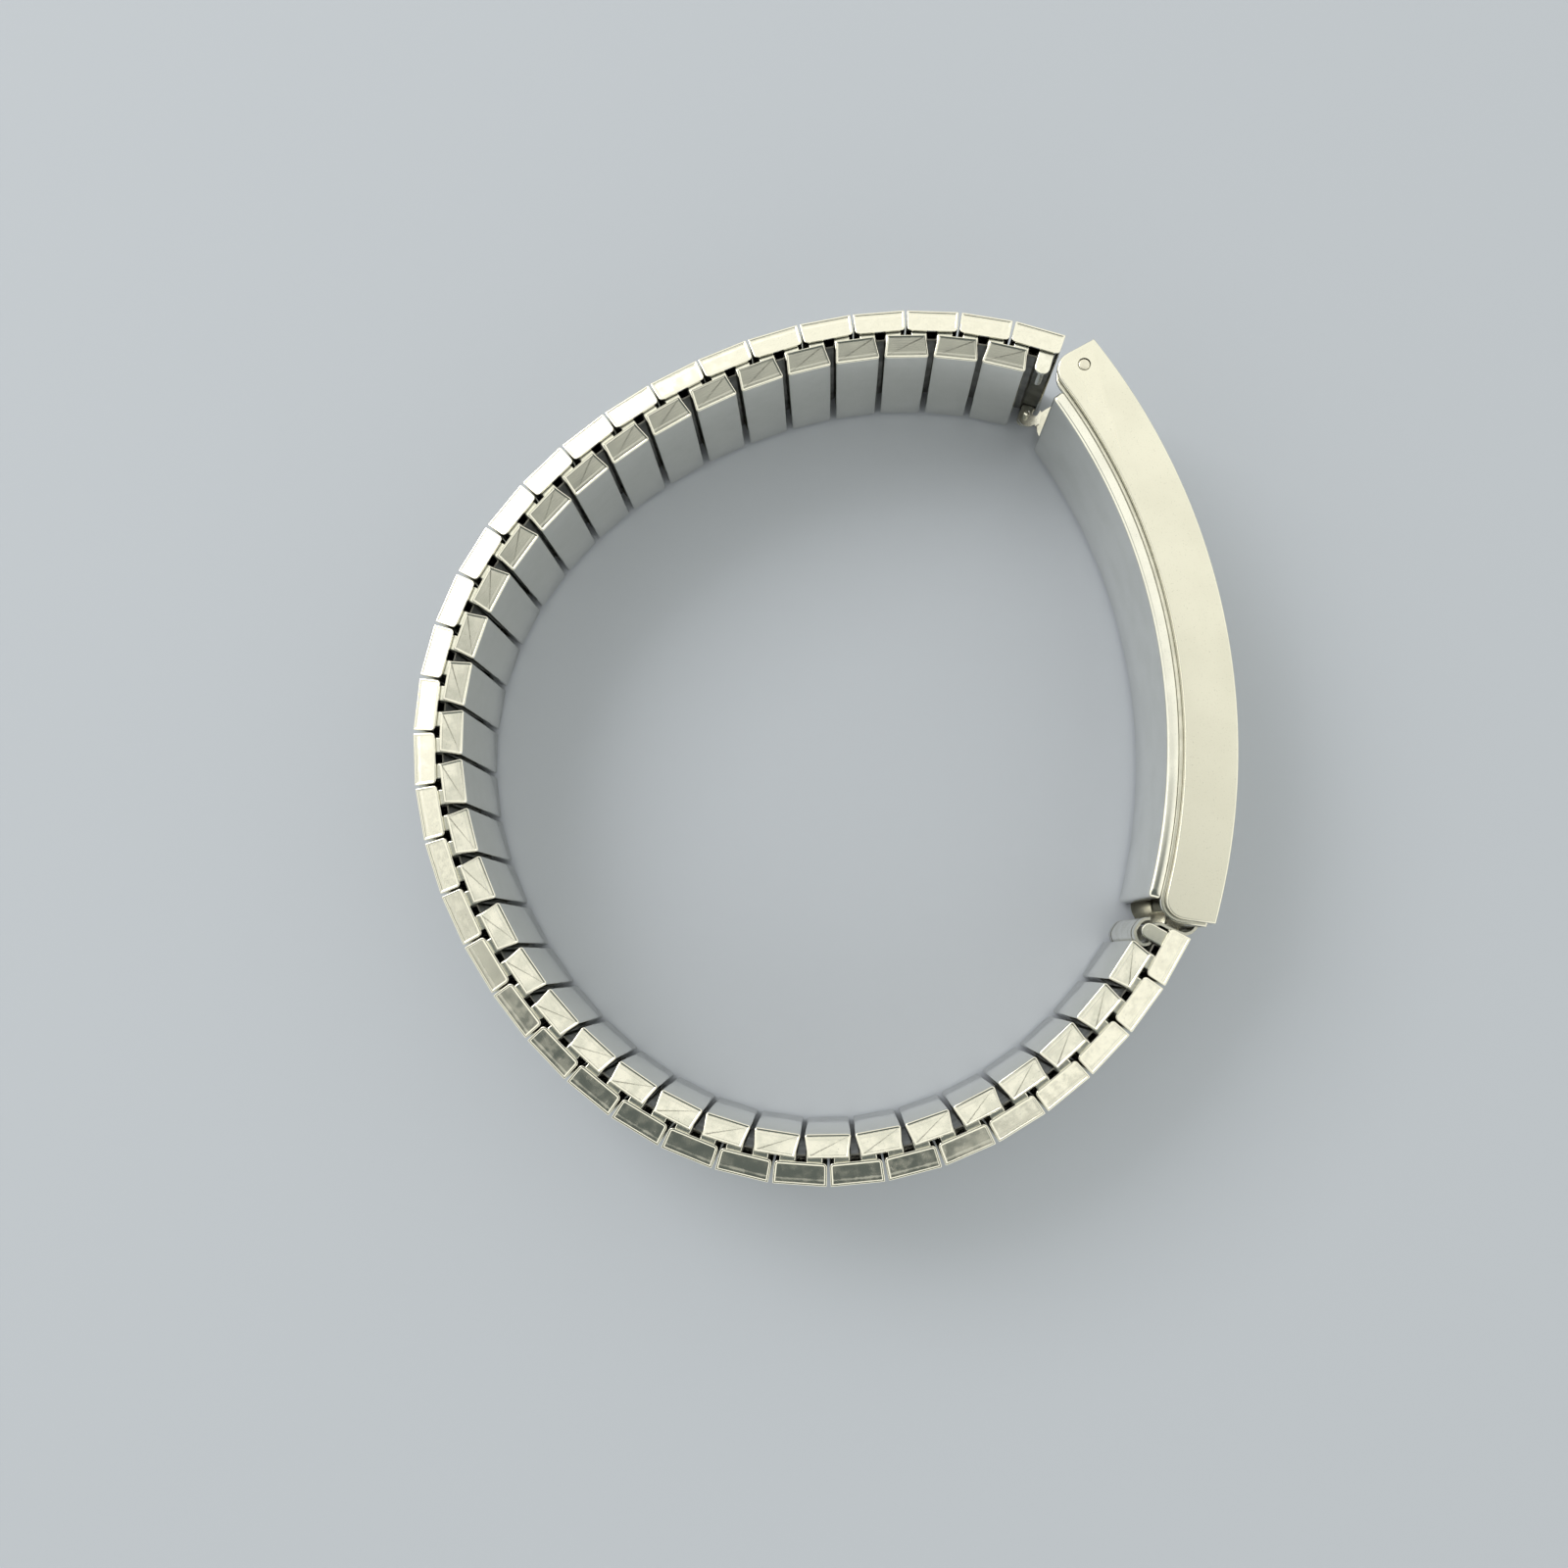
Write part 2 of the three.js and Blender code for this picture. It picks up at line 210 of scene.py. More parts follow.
def rangeNode(tree, value, fromMin, fromMax, toMin=0.0, toMax=1.0):
    node = tree.nodes.new("ShaderNodeMapRange")
    node.interpolation_type = "SMOOTHSTEP"
    link(tree, value, node.inputs["Value"])
    ends = (("From Min", fromMin), ("From Max", fromMax), ("To Min", toMin), ("To Max", toMax))
    for label, number in ends:
        if isinstance(number, (int, float)):
            node.inputs[label].default_value = number
        else:
            link(tree, number, node.inputs[label])
    return node.outputs["Result"]


# Grain: fine drawn lines along the metal, with small pits
def makeGrain():
    inputs = [
        ("Place", "NodeSocketVector", None),
        ("Stretch", "NodeSocketVector", (1, 8, 1)),
        ("Scale", "NodeSocketFloat", 3.0),
    ]
    outputs = [("Height", "NodeSocketFloat"), ("Pits", "NodeSocketFloat")]
    tree, source, end = newGroup("drawnGrain", inputs, outputs)
    lines = noiseNode(tree, source.outputs["Place"], source.outputs["Scale"], 4, source.outputs["Stretch"])
    specks = noiseNode(tree, source.outputs["Place"], 14, 1)
    pits = rangeNode(tree, specks, 0.70, 0.78)
    link(tree, mathNode(tree, "SUBTRACT", lines, pits), end.inputs["Height"])
    link(tree, pits, end.inputs["Pits"])
    return tree


# Handling: cloudy finger marks and a few hairline scratches
def makeHandling():
    inputs = [("Place", "NodeSocketVector", None), ("Cloud", "NodeSocketFloat", 0.35)]
    outputs = [("Haze", "NodeSocketFloat"), ("Scratches", "NodeSocketFloat")]
    tree, source, end = newGroup("handling", inputs, outputs)
    cloud = noiseNode(tree, source.outputs["Place"], source.outputs["Cloud"], 3)
    link(tree, rangeNode(tree, cloud, 0.35, 0.68), end.inputs["Haze"])
    first = noiseNode(tree, source.outputs["Place"], 1.1, 2, (9, 0.5, 1))
    second = noiseNode(tree, source.outputs["Place"], 1.3, 2, (0.6, 8, 1.4))
    firstHair = rangeNode(tree, first, 0.69, 0.73)
    secondHair = rangeNode(tree, second, 0.70, 0.74)
    link(tree, mathNode(tree, "MAXIMUM", firstHair, secondHair), end.inputs["Scratches"])
    return tree


# Fold wear and painted fold shade: a rubbed line at a set distance, and the turn of the fold beyond it,
# which is painted darker as shade
def makeFoldWearAndShade():
    inputs = [
        ("Distance", "NodeSocketFloat", 0.0),
        ("Line", "NodeSocketFloat", 1.6),
        ("Width", "NodeSocketFloat", 0.1),
    ]
    outputs = [("Rubbed", "NodeSocketFloat"), ("PastFoldShade", "NodeSocketFloat")]
    tree, source, end = newGroup("foldWearAndShade", inputs, outputs)
    distance, line, width = (source.outputs[label] for label in ("Distance", "Line", "Width"))
    away = mathNode(tree, "ABSOLUTE", mathNode(tree, "SUBTRACT", distance, line), None)
    link(tree, rangeNode(tree, away, width, 0.0), end.inputs["Rubbed"])
    past = mathNode(tree, "ADD", line, width)
    link(tree, rangeNode(tree, distance, line, past), end.inputs["PastFoldShade"])
    return tree


grainGroup = makeGrain()
handlingGroup = makeHandling()
foldGroup = makeFoldWearAndShade()


def mixColour(tree, factor, first, second):
    node = tree.nodes.new("ShaderNodeMix")
    node.data_type = "RGBA"
    link(tree, factor, node.inputs["Factor"])
    for label, value in (("A", first), ("B", second)):
        if isinstance(value, tuple):
            node.inputs[label].default_value = value
        else:
            link(tree, value, node.inputs[label])
    return node.outputs["Result"]


finishes = {
    "outerSteel": {
        "colour": (0.86, 0.85, 0.78, 1), "shade": (0.81, 0.80, 0.73, 1), "rough": 0.15, "panelRough": 0.11,
        "grain": 2.4, "stretch": (0.5, 7, 3), "bump": 0.06, "fold": (-1.62, 0.16),
        "haze": 0.14, "offPanel": 0.25, "cloud": 1.3, "ownPlace": True,
    },
    "caseSteel": {
        "colour": (0.86, 0.85, 0.79, 1), "shade": (0.76, 0.76, 0.70, 1), "rough": 0.07, "panelRough": 0.15,
        "grain": 2.0, "stretch": (0.5, 6, 3), "bump": 0.05, "fold": (1.70, 0.12),
        "haze": 0.06, "offPanel": 0.3, "cloud": 0.8, "ownPlace": True,
    },
    # The staples' steel is painted a little lighter than the links' steel: painted light that lifts the
    # webs out of the shade of their deep recess
    "stapleWire": {
        "colour": (0.90, 0.90, 0.84, 1), "shade": (0.80, 0.80, 0.73, 1), "rough": 0.16, "panelRough": 0.16,
        "grain": 3.0, "stretch": (5, 0.7, 5), "bump": 0.05, "fold": None,
        "haze": 0.08, "offPanel": 1, "cloud": 1.0, "ownPlace": True,
    },
    # The spring strips' steel is painted nearly black: painted shade for the dark gaps between the links,
    # where the strips lie in shade
    "springStrip": {
        "colour": (0.26, 0.26, 0.25, 1), "shade": (0.17, 0.17, 0.16, 1), "rough": 0.36, "panelRough": 0.36,
        "grain": 3.0, "stretch": (6, 6, 0.4), "bump": 0.10, "fold": None,
        "haze": 0.08, "offPanel": 1, "cloud": 0.6, "ownPlace": True,
    },
    "plateSatin": {
        "colour": (0.84, 0.83, 0.75, 1), "shade": (0.80, 0.79, 0.71, 1), "rough": 0.18, "panelRough": 0.32,
        "grain": 2.2, "stretch": (4, 0.35, 6), "bump": 0.10, "fold": None,
        "haze": 0.05, "offPanel": 0.5, "cloud": 0.22, "ownPlace": False,
    },
    "layerSteel": {
        "colour": (0.84, 0.83, 0.76, 1), "shade": (0.74, 0.73, 0.66, 1), "rough": 0.16, "panelRough": 0.16,
        "grain": 3.0, "stretch": (4, 0.5, 6), "bump": 0.05, "fold": None,
        "haze": 0.06, "offPanel": 1, "cloud": 0.5, "ownPlace": False,
    },
    "linerPolish": {
        "colour": (0.88, 0.88, 0.84, 1), "shade": (0.82, 0.82, 0.78, 1), "rough": 0.10, "panelRough": 0.10,
        "grain": 1.6, "stretch": (3, 0.3, 3), "bump": 0.03, "fold": None,
        "haze": 0.05, "offPanel": 1, "cloud": 0.3, "ownPlace": False,
    },
    "rolledStrip": {
        "colour": (0.86, 0.85, 0.79, 1), "shade": (0.76, 0.75, 0.69, 1), "rough": 0.16, "panelRough": 0.16,
        "grain": 3.0, "stretch": (5, 5, 0.5), "bump": 0.08, "fold": None,
        "haze": 0.08, "offPanel": 1, "cloud": 0.7, "ownPlace": False,
    },
    "pinTurned": {
        "colour": (0.82, 0.80, 0.72, 1), "shade": (0.70, 0.68, 0.60, 1), "rough": 0.24, "panelRough": 0.24,
        "grain": 4.0, "stretch": (1, 1, 8), "bump": 0.10, "fold": None,
        "haze": 0.05, "offPanel": 1, "cloud": 1.5, "ownPlace": False,
    },
}


# Of these marks, the fold's is painted shade: how much the panel past the fold line is darkened where the
# fold turns away from the light
marking = {"pitShade": 0.5, "scratchRough": 0.05, "paintedFoldShade": 0.35, "rubbedRough": 0.16, "bumpDepth": 0.02}


# One finish: its grain, marks, worn fold and painted shade past the fold, with a roughness of its own on
# the flat end panels
def makeFinish(name, look):
    finish = bpy.data.materials.new(name)
    finish.use_nodes = True
    tree = finish.node_tree
    nodes = tree.nodes
    shader = nodes["Principled BSDF"]
    shader.inputs["Metallic"].default_value = 1
    if look["ownPlace"]:
        own = nodes.new("ShaderNodeAttribute")
        own.attribute_name = "ownPlace"
        place = own.outputs["Vector"]
    else:
        spot = nodes.new("ShaderNodeTexCoord")
        scaled = nodes.new("ShaderNodeVectorMath")
        scaled.operation = "SCALE"
        scaled.inputs["Scale"].default_value = 1 / mm
        link(tree, spot.outputs["Object"], scaled.inputs[0])
        place = scaled.outputs[0]
    tone = nodes.new("ShaderNodeAttribute")
    tone.attribute_name = "tone"
    panel = nodes.new("ShaderNodeAttribute")
    panel.attribute_name = "panel"
    shift = nodes.new("ShaderNodeVectorMath")
    shift.operation = "ADD"
    spread = nodes.new("ShaderNodeVectorMath")
    spread.operation = "SCALE"
    spread.inputs[0].default_value = (31, 17, 23)
    link(tree, tone.outputs["Fac"], spread.inputs["Scale"])
    link(tree, place, shift.inputs[0])
    link(tree, spread.outputs[0], shift.inputs[1])

    grain = nodes.new("ShaderNodeGroup")
    grain.node_tree = grainGroup
    grain.inputs["Stretch"].default_value = look["stretch"]
    grain.inputs["Scale"].default_value = look["grain"]
    link(tree, shift.outputs[0], grain.inputs["Place"])
    marks = nodes.new("ShaderNodeGroup")
    marks.node_tree = handlingGroup
    marks.inputs["Cloud"].default_value = look["cloud"]
    link(tree, shift.outputs[0], marks.inputs["Place"])

    most = rangeNode(tree, panel.outputs["Fac"], 0, 1, look["offPanel"], 1)
    haze = mathNode(tree, "MULTIPLY", marks.outputs["Haze"], most)
    colour = mixColour(tree, haze, look["colour"], look["shade"])
    pitColour = tuple(marking["pitShade"] * c for c in look["shade"][:3]) + (1,)
    colour = mixColour(tree, grain.outputs["Pits"], colour, pitColour)
    base = mathNode(tree, "MULTIPLY", panel.outputs["Fac"], look["panelRough"] - look["rough"])
    rough = mathNode(tree, "ADD", base, look["rough"])
    rough = mathNode(tree, "ADD", rough, mathNode(tree, "MULTIPLY", haze, look["haze"]))
    scratched = mathNode(tree, "MULTIPLY", marks.outputs["Scratches"], marking["scratchRough"])
    rough = mathNode(tree, "ADD", rough, scratched)
    if look["fold"]:
        across = nodes.new("ShaderNodeSeparateXYZ")
        link(tree, place, across.inputs[0])
        wornAndShaded = nodes.new("ShaderNodeGroup")
        wornAndShaded.node_tree = foldGroup
        sign = 1 if look["fold"][0] > 0 else -1
        wornAndShaded.inputs["Line"].default_value = abs(look["fold"][0])
        wornAndShaded.inputs["Width"].default_value = look["fold"][1]
        link(tree, mathNode(tree, "MULTIPLY", across.outputs["Y"], sign), wornAndShaded.inputs["Distance"])
        # Painted shade: the panel past the fold line is darkened towards the shade colour where the fold
        # turns away from the light; the rubbed line only adds roughness
        onPanel = mathNode(tree, "MULTIPLY", wornAndShaded.outputs["PastFoldShade"], panel.outputs["Fac"])
        paintedFoldShade = mathNode(tree, "MULTIPLY", onPanel, marking["paintedFoldShade"])
        colour = mixColour(tree, paintedFoldShade, colour, look["shade"])
        rubbed = mathNode(tree, "MULTIPLY", wornAndShaded.outputs["Rubbed"], panel.outputs["Fac"])
        rough = mathNode(tree, "ADD", rough, mathNode(tree, "MULTIPLY", rubbed, marking["rubbedRough"]))
    link(tree, colour, shader.inputs["Base Color"])
    link(tree, rough, shader.inputs["Roughness"])
    bump = nodes.new("ShaderNodeBump")
    bump.inputs["Strength"].default_value = look["bump"]
    bump.inputs["Distance"].default_value = marking["bumpDepth"] * mm
    link(tree, grain.outputs["Height"], bump.inputs["Height"])
    link(tree, bump.outputs["Normal"], shader.inputs["Normal"])
    return finish


metals = {name: makeFinish(name, look) for name, look in finishes.items()}
print("finishes:", len(metals))

# Outlines and skins


# A closed loop moved inwards, along the bisector at each corner
def insetLoop(points, distance):
    moved = []
    for i, here in enumerate(points):
        before = (here - points[i - 1]).normalized()
        after = (points[(i + 1) % len(points)] - here).normalized()
        inward = Vector((-before.y - after.y, before.x + after.x)).normalized()
        lean = max(0.5, inward.dot(Vector((-after.y, after.x))))
        moved.append(here + inward * (distance / lean))
    return moved


# A polygon with rounded corners, each given as x, y and radius, anticlockwise
def roundedLoop(corners, steps=4):
    points = []
    for i, (x, y, radius) in enumerate(corners):
        here = Vector((x, y))
        back = (Vector(corners[i - 1][:2]) - here).normalized()
        ahead = (Vector(corners[(i + 1) % len(corners)][:2]) - here).normalized()
        half = back.angle(ahead) / 2
        centre = here + (back + ahead).normalized() * (radius / math.sin(half))
        first = here + back * (radius / math.tan(half)) - centre
        last = here + ahead * (radius / math.tan(half)) - centre
        start = math.atan2(first.y, first.x)
        sweep = (math.atan2(last.y, last.x) - start + math.pi) % (2 * math.pi) - math.pi
        for s in range(steps + 1):
            a = start + sweep * s / steps
            points.append(centre + Vector((math.cos(a), math.sin(a))) * radius)
    return points


# A mesh object from points in millimetres, with its normals pointing outwards
def newPiece(name, points, faces, panel=None):
    mesh = bpy.data.meshes.new(name)
    mesh.from_pydata([Vector(p) * mm for p in points], [], faces)
    if panel is not None:
        values = mesh.attributes.new("panel", "FLOAT", "POINT")
        values.data.foreach_set("value", panel)
    soup = bmesh.new()
    soup.from_mesh(mesh)
    bmesh.ops.recalc_face_normals(soup, faces=soup.faces)
    soup.to_mesh(mesh)
    soup.free()
    piece = bpy.data.objects.new(name, mesh)
    scene.collection.objects.link(piece)
    return piece


# A closed skin through equal rings of points, its first and last rings capped
def skinRings(name, rings, panel=None):
    count = len(rings[0])
    points = [p for ring in rings for p in ring]
    faces = [tuple(reversed(range(count))), tuple(range(len(points) - count, len(points)))]
    for r in range(len(rings) - 1):
        for i in range(count):
            a = r * count + i
            b = r * count + (i + 1) % count
            faces.append((a, b, b + count, a + count))
    spread = None if panel is None else [v for v in panel for _ in range(count)]
    return newPiece(name, points, faces, spread)


# A prism whose edges follow a profile of (inset, drop) pairs at both ends; a drop may depend on the point.
def profiledPrism(name, outline, low, high, profile, panel=None):
    bottom = []
    top = []
    for inset, drop in profile:
        loop = insetLoop(outline, inset) if inset else outline
        fall = drop if callable(drop) else lambda p, d=drop: d
        bottom.append([(p.x, p.y, low + fall(p)) for p in loop])
        top.append([(p.x, p.y, high - fall(p)) for p in loop])
    values = None if panel is None else panel[::-1] + panel
    return skinRings(name, bottom[::-1] + top, values)


# A piece's modifiers made part of its mesh
def finished(piece):
    scene.view_layers[0].update()
    depsgraph = bpy.context.evaluated_depsgraph_get()
    mesh = bpy.data.meshes.new_from_object(piece.evaluated_get(depsgraph), depsgraph=depsgraph)
    piece.modifiers.clear()
    old = piece.data
    piece.data = mesh
    bpy.data.meshes.remove(old)
    return piece


def cutAway(piece, *cutters):
    for cutter in cutters:
        cut = piece.modifiers.new("cut", "BOOLEAN")
        cut.operation = "DIFFERENCE"
        cut.solver = "EXACT"
        cut.object = cutter
    finished(piece)
    for cutter in cutters:
        bpy.data.objects.remove(cutter)
    return piece


shading = {"sharpFrom": 34, "wireSharpFrom": 40, "stripSharpFrom": 50, "flatAbove": 8}


# Smooth shading up to an edge angle; faces with many corners are flat ends and stay flat
def smoothed(piece, sharpFrom=shading["sharpFrom"]):
    piece.data.shade_smooth()
    piece.data.set_sharp_from_angle(angle=math.radians(sharpFrom))
    for face in piece.data.polygons:
        if face.loop_total > shading["flatAbove"]:
            face.use_smooth = False
    return piece


# A finish and a body for a piece, and the nodes that it stands for
def wear(piece, metal, body, slot, *nodes):
    piece.data.materials.clear()
    piece.data.materials.append(metals[metal])
    smoothed(piece)
    if nodes:
        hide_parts(*nodes)
    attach(piece, body)
    return piece


# Each point keeps its place in the piece's own frame, in millimetres, for the finishes that follow it
def markOwnPlace(piece):
    places = piece.data.attributes.new("ownPlace", "FLOAT_VECTOR", "POINT")
    places.data.foreach_set("vector", [c / mm for v in piece.data.vertices for c in v.co])
    return piece


# The band's line: a chain of equal pitches that meets the plate at both ends

band = {
    "width": 14.6,
    "pitch": 4.47,
    "outerCount": 36,
    "rowGap": 0.44,
    "chord": 51.0,
    "plateRadius": 57.1,
    "upperEnd": (3.22, -1.02),
    "lowerEnd": (3.8, -0.52),
    "bendWaves": ((1, 5.1, -1.6), (2, 2.35, -0.25), (3, -1.9, 0.3)),
}
halfAngle = math.asin(band["chord"] / 2 / band["plateRadius"])
sag = band["plateRadius"] * (1 - math.cos(halfAngle))
shellLow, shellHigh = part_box("plate_shell")
plateShift = Vector((shellHigh.x / mm - sag, (shellLow.y + shellHigh.y) / 2 / mm))
bandStart = Vector((-band["upperEnd"][0], band["chord"] / 2 + band["upperEnd"][1]))
bandEnd = Vector((-band["lowerEnd"][0], -band["chord"] / 2 - band["lowerEnd"][1]))


def linkAngle(index, middle, turn):
    u = (index + 0.5) / band["outerCount"]
    bend = 0
    for waves, even, odd in band["bendWaves"]:
        bend += even * math.cos(2 * math.pi * waves * u) + odd * math.sin(2 * math.pi * waves * u)
    return middle + turn * (u - 0.5) + math.radians(bend)


def chainCorners(middle, turn):
    corners = [bandStart]
    for i in range(band["outerCount"]):
        angle = linkAngle(i, middle, turn)
        corners.append(corners[-1] + band["pitch"] * Vector((math.cos(angle), math.sin(angle))))
    return corners


# Newton's method, from an even curl of three quarters of a turn
def solveBand():
    middle = math.radians(270)
    turn = math.radians(270)
    step = 1e-6
    for _ in range(40):
        miss = chainCorners(middle, turn)[-1] - bandEnd
        byMiddle = (chainCorners(middle + step, turn)[-1] - bandEnd - miss) / step
        byTurn = (chainCorners(middle, turn + step)[-1] - bandEnd - miss) / step
        area = byMiddle.x * byTurn.y - byTurn.x * byMiddle.y
        moveMiddle = (miss.x * byTurn.y - byTurn.x * miss.y) / area
        moveTurn = (byMiddle.x * miss.y - miss.x * byMiddle.y) / area
        damping = min(1, 0.2 / max(1e-12, math.hypot(moveMiddle, moveTurn)))
        middle -= damping * moveMiddle
        turn -= damping * moveTurn
    return middle, turn


middleAngle, turnAngle = solveBand()
corners = chainCorners(middleAngle, turnAngle)


def outerPlace(k):
    centre = (corners[k - 1] + corners[k]) / 2 + plateShift
    return centre, linkAngle(k - 1, middleAngle, turnAngle)


def innerPlace(k):
    angle = (linkAngle(k - 1, middleAngle, turnAngle) + linkAngle(k, middleAngle, turnAngle)) / 2
    return corners[k] + plateShift, angle


def worldPoint(place, x, y):
    centre, angle = place
    c, s = math.cos(angle), math.sin(angle)
    return centre + Vector((x * c - y * s, x * s + y * c))


halfway = band["outerCount"] // 2


def outerBody(k):
    lone = k % 2 == 1 if k <= halfway else (k % 2 == 0 or k == halfway + 1)
    return ("outer_%02d" if lone else "pair_%02d") % k


def innerBody(k):
    if k % 2 == 1:
        return "inner_%02d" % k
    return "pair_%02d" % (k if k <= halfway else k + 1)


print("band solved:", round(math.degrees(middleAngle), 3), round(math.degrees(turnAngle), 3))

# Placing pieces along the band


def makePlacer():
    tree = bpy.data.node_groups.new("placeLinks", "GeometryNodeTree")
    sockets = (
        ("Geometry", "NodeSocketGeometry"), ("Piece", "NodeSocketObject"), ("Play", "NodeSocketFloat"),
        ("Seed", "NodeSocketInt"), ("Material", "NodeSocketMaterial"),
    )
    for label, kind in sockets:
        tree.interface.new_socket(label, in_out="INPUT", socket_type=kind)
    tree.interface.new_socket("Geometry", in_out="OUTPUT", socket_type="NodeSocketGeometry")
    nodes = tree.nodes
    source = nodes.new("NodeGroupInput")
    end = nodes.new("NodeGroupOutput")
    piece = nodes.new("GeometryNodeObjectInfo")
    link(tree, source.outputs["Piece"], piece.inputs["Object"])
    turn = nodes.new("GeometryNodeInputNamedAttribute")
    turn.data_type = "FLOAT"
    turn.inputs["Name"].default_value = "turn"
    chance = nodes.new("FunctionNodeRandomValue")
    chance.data_type = "FLOAT"
    chance.inputs[2].default_value = -1
    chance.inputs[3].default_value = 1
    link(tree, source.outputs["Seed"], chance.inputs["Seed"])
    play = nodes.new("ShaderNodeMath")
    play.operation = "MULTIPLY_ADD"
    link(tree, chance.outputs[1], play.inputs[0])
    link(tree, source.outputs["Play"], play.inputs[1])
    link(tree, turn.outputs["Attribute"], play.inputs[2])
    facing = nodes.new("ShaderNodeCombineXYZ")
    link(tree, play.outputs[0], facing.inputs["Z"])
    spread = nodes.new("GeometryNodeInstanceOnPoints")
    link(tree, source.outputs["Geometry"], spread.inputs["Points"])
    link(tree, piece.outputs["Geometry"], spread.inputs["Instance"])
    link(tree, facing.outputs[0], spread.inputs["Rotation"])
    shade = nodes.new("FunctionNodeRandomValue")
    shade.data_type = "FLOAT"
    link(tree, source.outputs["Seed"], shade.inputs["Seed"])
    tone = nodes.new("GeometryNodeStoreNamedAttribute")
    tone.data_type = "FLOAT"
    tone.domain = "INSTANCE"
    tone.inputs["Name"].default_value = "tone"
    link(tree, spread.outputs[0], tone.inputs["Geometry"])
    link(tree, shade.outputs[1], tone.inputs["Value"])
    real = nodes.new("GeometryNodeRealizeInstances")
    link(tree, tone.outputs[0], real.inputs[0])
    paint = nodes.new("GeometryNodeSetMaterial")
    link(tree, real.outputs[0], paint.inputs["Geometry"])
    link(tree, source.outputs["Material"], paint.inputs["Material"])
    link(tree, paint.outputs[0], end.inputs[0])
    return tree


placer = makePlacer()
placerInputs = {s.name: s.identifier for s in placer.interface.items_tree if s.in_out == "INPUT"}


# A plain mesh of one piece at its place on the band
def placePiece(name, piece, metal, place, play, seed):
    spot, angle = place
    mesh = bpy.data.meshes.new(name)
    mesh.from_pydata([(spot.x * mm, spot.y * mm, 0)], [], [])
    turns = mesh.attributes.new("turn", "FLOAT", "POINT")
    turns.data.foreach_set("value", [angle])
    placed = bpy.data.objects.new(name, mesh)
    scene.collection.objects.link(placed)
    spread = placed.modifiers.new("placeLinks", "NODES")
    values = {"Piece": piece, "Play": math.radians(play), "Seed": seed, "Material": metals[metal]}
    spread.node_group = placer
    for label, value in values.items():
        spread[placerInputs[label]] = value
    return finished(placed)


# Outer covers: folded boxes open to the wrist, with a rim round each end panel

outerCover = {
    "lengthAtGap": 4.32, "lengthAtFace": 4.5, "depth": 1.9, "gapRadius": 0.33, "faceRadius": 0.09,
    "faceWall": 0.33, "sideWall": 0.26, "endWall": 0.15, "edge": 0.07, "rim": 0.21,
    "lean": 9, "sunk": 0.05, "play": 0.35,
}
gapSide = band["rowGap"] / 2


# An end's shape: a rounded rim round a sunk panel, all leaning away from the row gap.
# Gives the profile, which rings are panel, and how far below the end a closing wall lies.
def boxProfile(sizes):
    lean = math.tan(math.radians(sizes["lean"]))

    def fall(drop):
        return lambda p: drop + lean * max(0, abs(p.y) - gapSide)

    edge, rim = sizes["edge"], sizes["rim"]
    steps = [(0, edge), (0.13 * edge, 0.5 * edge), (0.5 * edge, 0.13 * edge), (edge, 0)]
    steps += [(rim - 0.09, 0), (rim - 0.03, 0.3 * sizes["sunk"]), (rim + 0.01, 0.95 * sizes["sunk"])]
    steps += [(rim + 0.03, sizes["sunk"]), (rim + 0.07, sizes["sunk"])]
    profile = [(inset, fall(drop)) for inset, drop in steps]
    return profile, [0] * 6 + [0.5, 1, 1], fall(sizes["sunk"] + sizes["endWall"])


hollowMouth = 0.5  # how far a hollow's cutter reaches past the line between the rows


# What is cut out of a box link: open through its mouth, walled at its face and both ends
def hollowCutter(side, mouth, inner, low, high, wallAt):
    deep = wallAt(Vector((0, inner)))
    under = wallAt(Vector((0, 0)))
    levels = []
    for end, way in ((low, 1), (high, -1)):
        atInner = [(-side, inner, end + way * deep), (side, inner, end + way * deep)]
        atMouth = [(side, mouth, end + way * under), (-side, mouth, end + way * under)]
        levels.append(atInner + atMouth)
    return skinRings("hollow", levels)


def makeOuterCover(sizes):
    atGap, atFace = sizes["lengthAtGap"] / 2, sizes["lengthAtFace"] / 2
    face = gapSide + sizes["depth"]
    outline = roundedLoop([
        (-atFace, -face, sizes["faceRadius"]), (atFace, -face, sizes["faceRadius"]),
        (atGap, -gapSide, sizes["gapRadius"]), (-atGap, -gapSide, sizes["gapRadius"]),
    ])
    profile, panel, wallAt = boxProfile(sizes)
    cover = profiledPrism("outerCover", outline, 0, band["width"], profile, panel)
    side = atGap - sizes["sideWall"]
    cutter = hollowCutter(side, hollowMouth, sizes["faceWall"] - face, 0, band["width"], wallAt)
    return markOwnPlace(smoothed(cutAway(cover, cutter)))


# Inner cases: narrower boxes open to the row gap, their wrist faces polished

innerCase = {
    "lengthAtGap": 3.34, "lengthAtWrist": 3.86, "depth": 1.94, "gapRadius": 0.12, "wristRadius": 0.22,
    "faceWall": 0.3, "sideWall": 0.25, "endWall": 0.15, "edge": 0.07, "rim": 0.18,
    "lean": 9, "sunk": 0.03, "inset": 0.04, "play": 0.5,
}


def makeInnerCase(sizes):
    atGap, atWrist = sizes["lengthAtGap"] / 2, sizes["lengthAtWrist"] / 2
    face = gapSide + sizes["depth"]
    outline = roundedLoop([
        (-atGap, gapSide, sizes["gapRadius"]), (atGap, gapSide, sizes["gapRadius"]),
        (atWrist, face, sizes["wristRadius"]), (-atWrist, face, sizes["wristRadius"]),
    ])
    profile, panel, wallAt = boxProfile(sizes)
    low, high = sizes["inset"], band["width"] - sizes["inset"]
    case = profiledPrism("innerCase", outline, low, high, profile, panel)
    side = atGap - sizes["sideWall"]
    cutter = hollowCutter(side, -hollowMouth, face - sizes["faceWall"], low, high, wallAt)
    return markOwnPlace(smoothed(cutAway(case, cutter)))


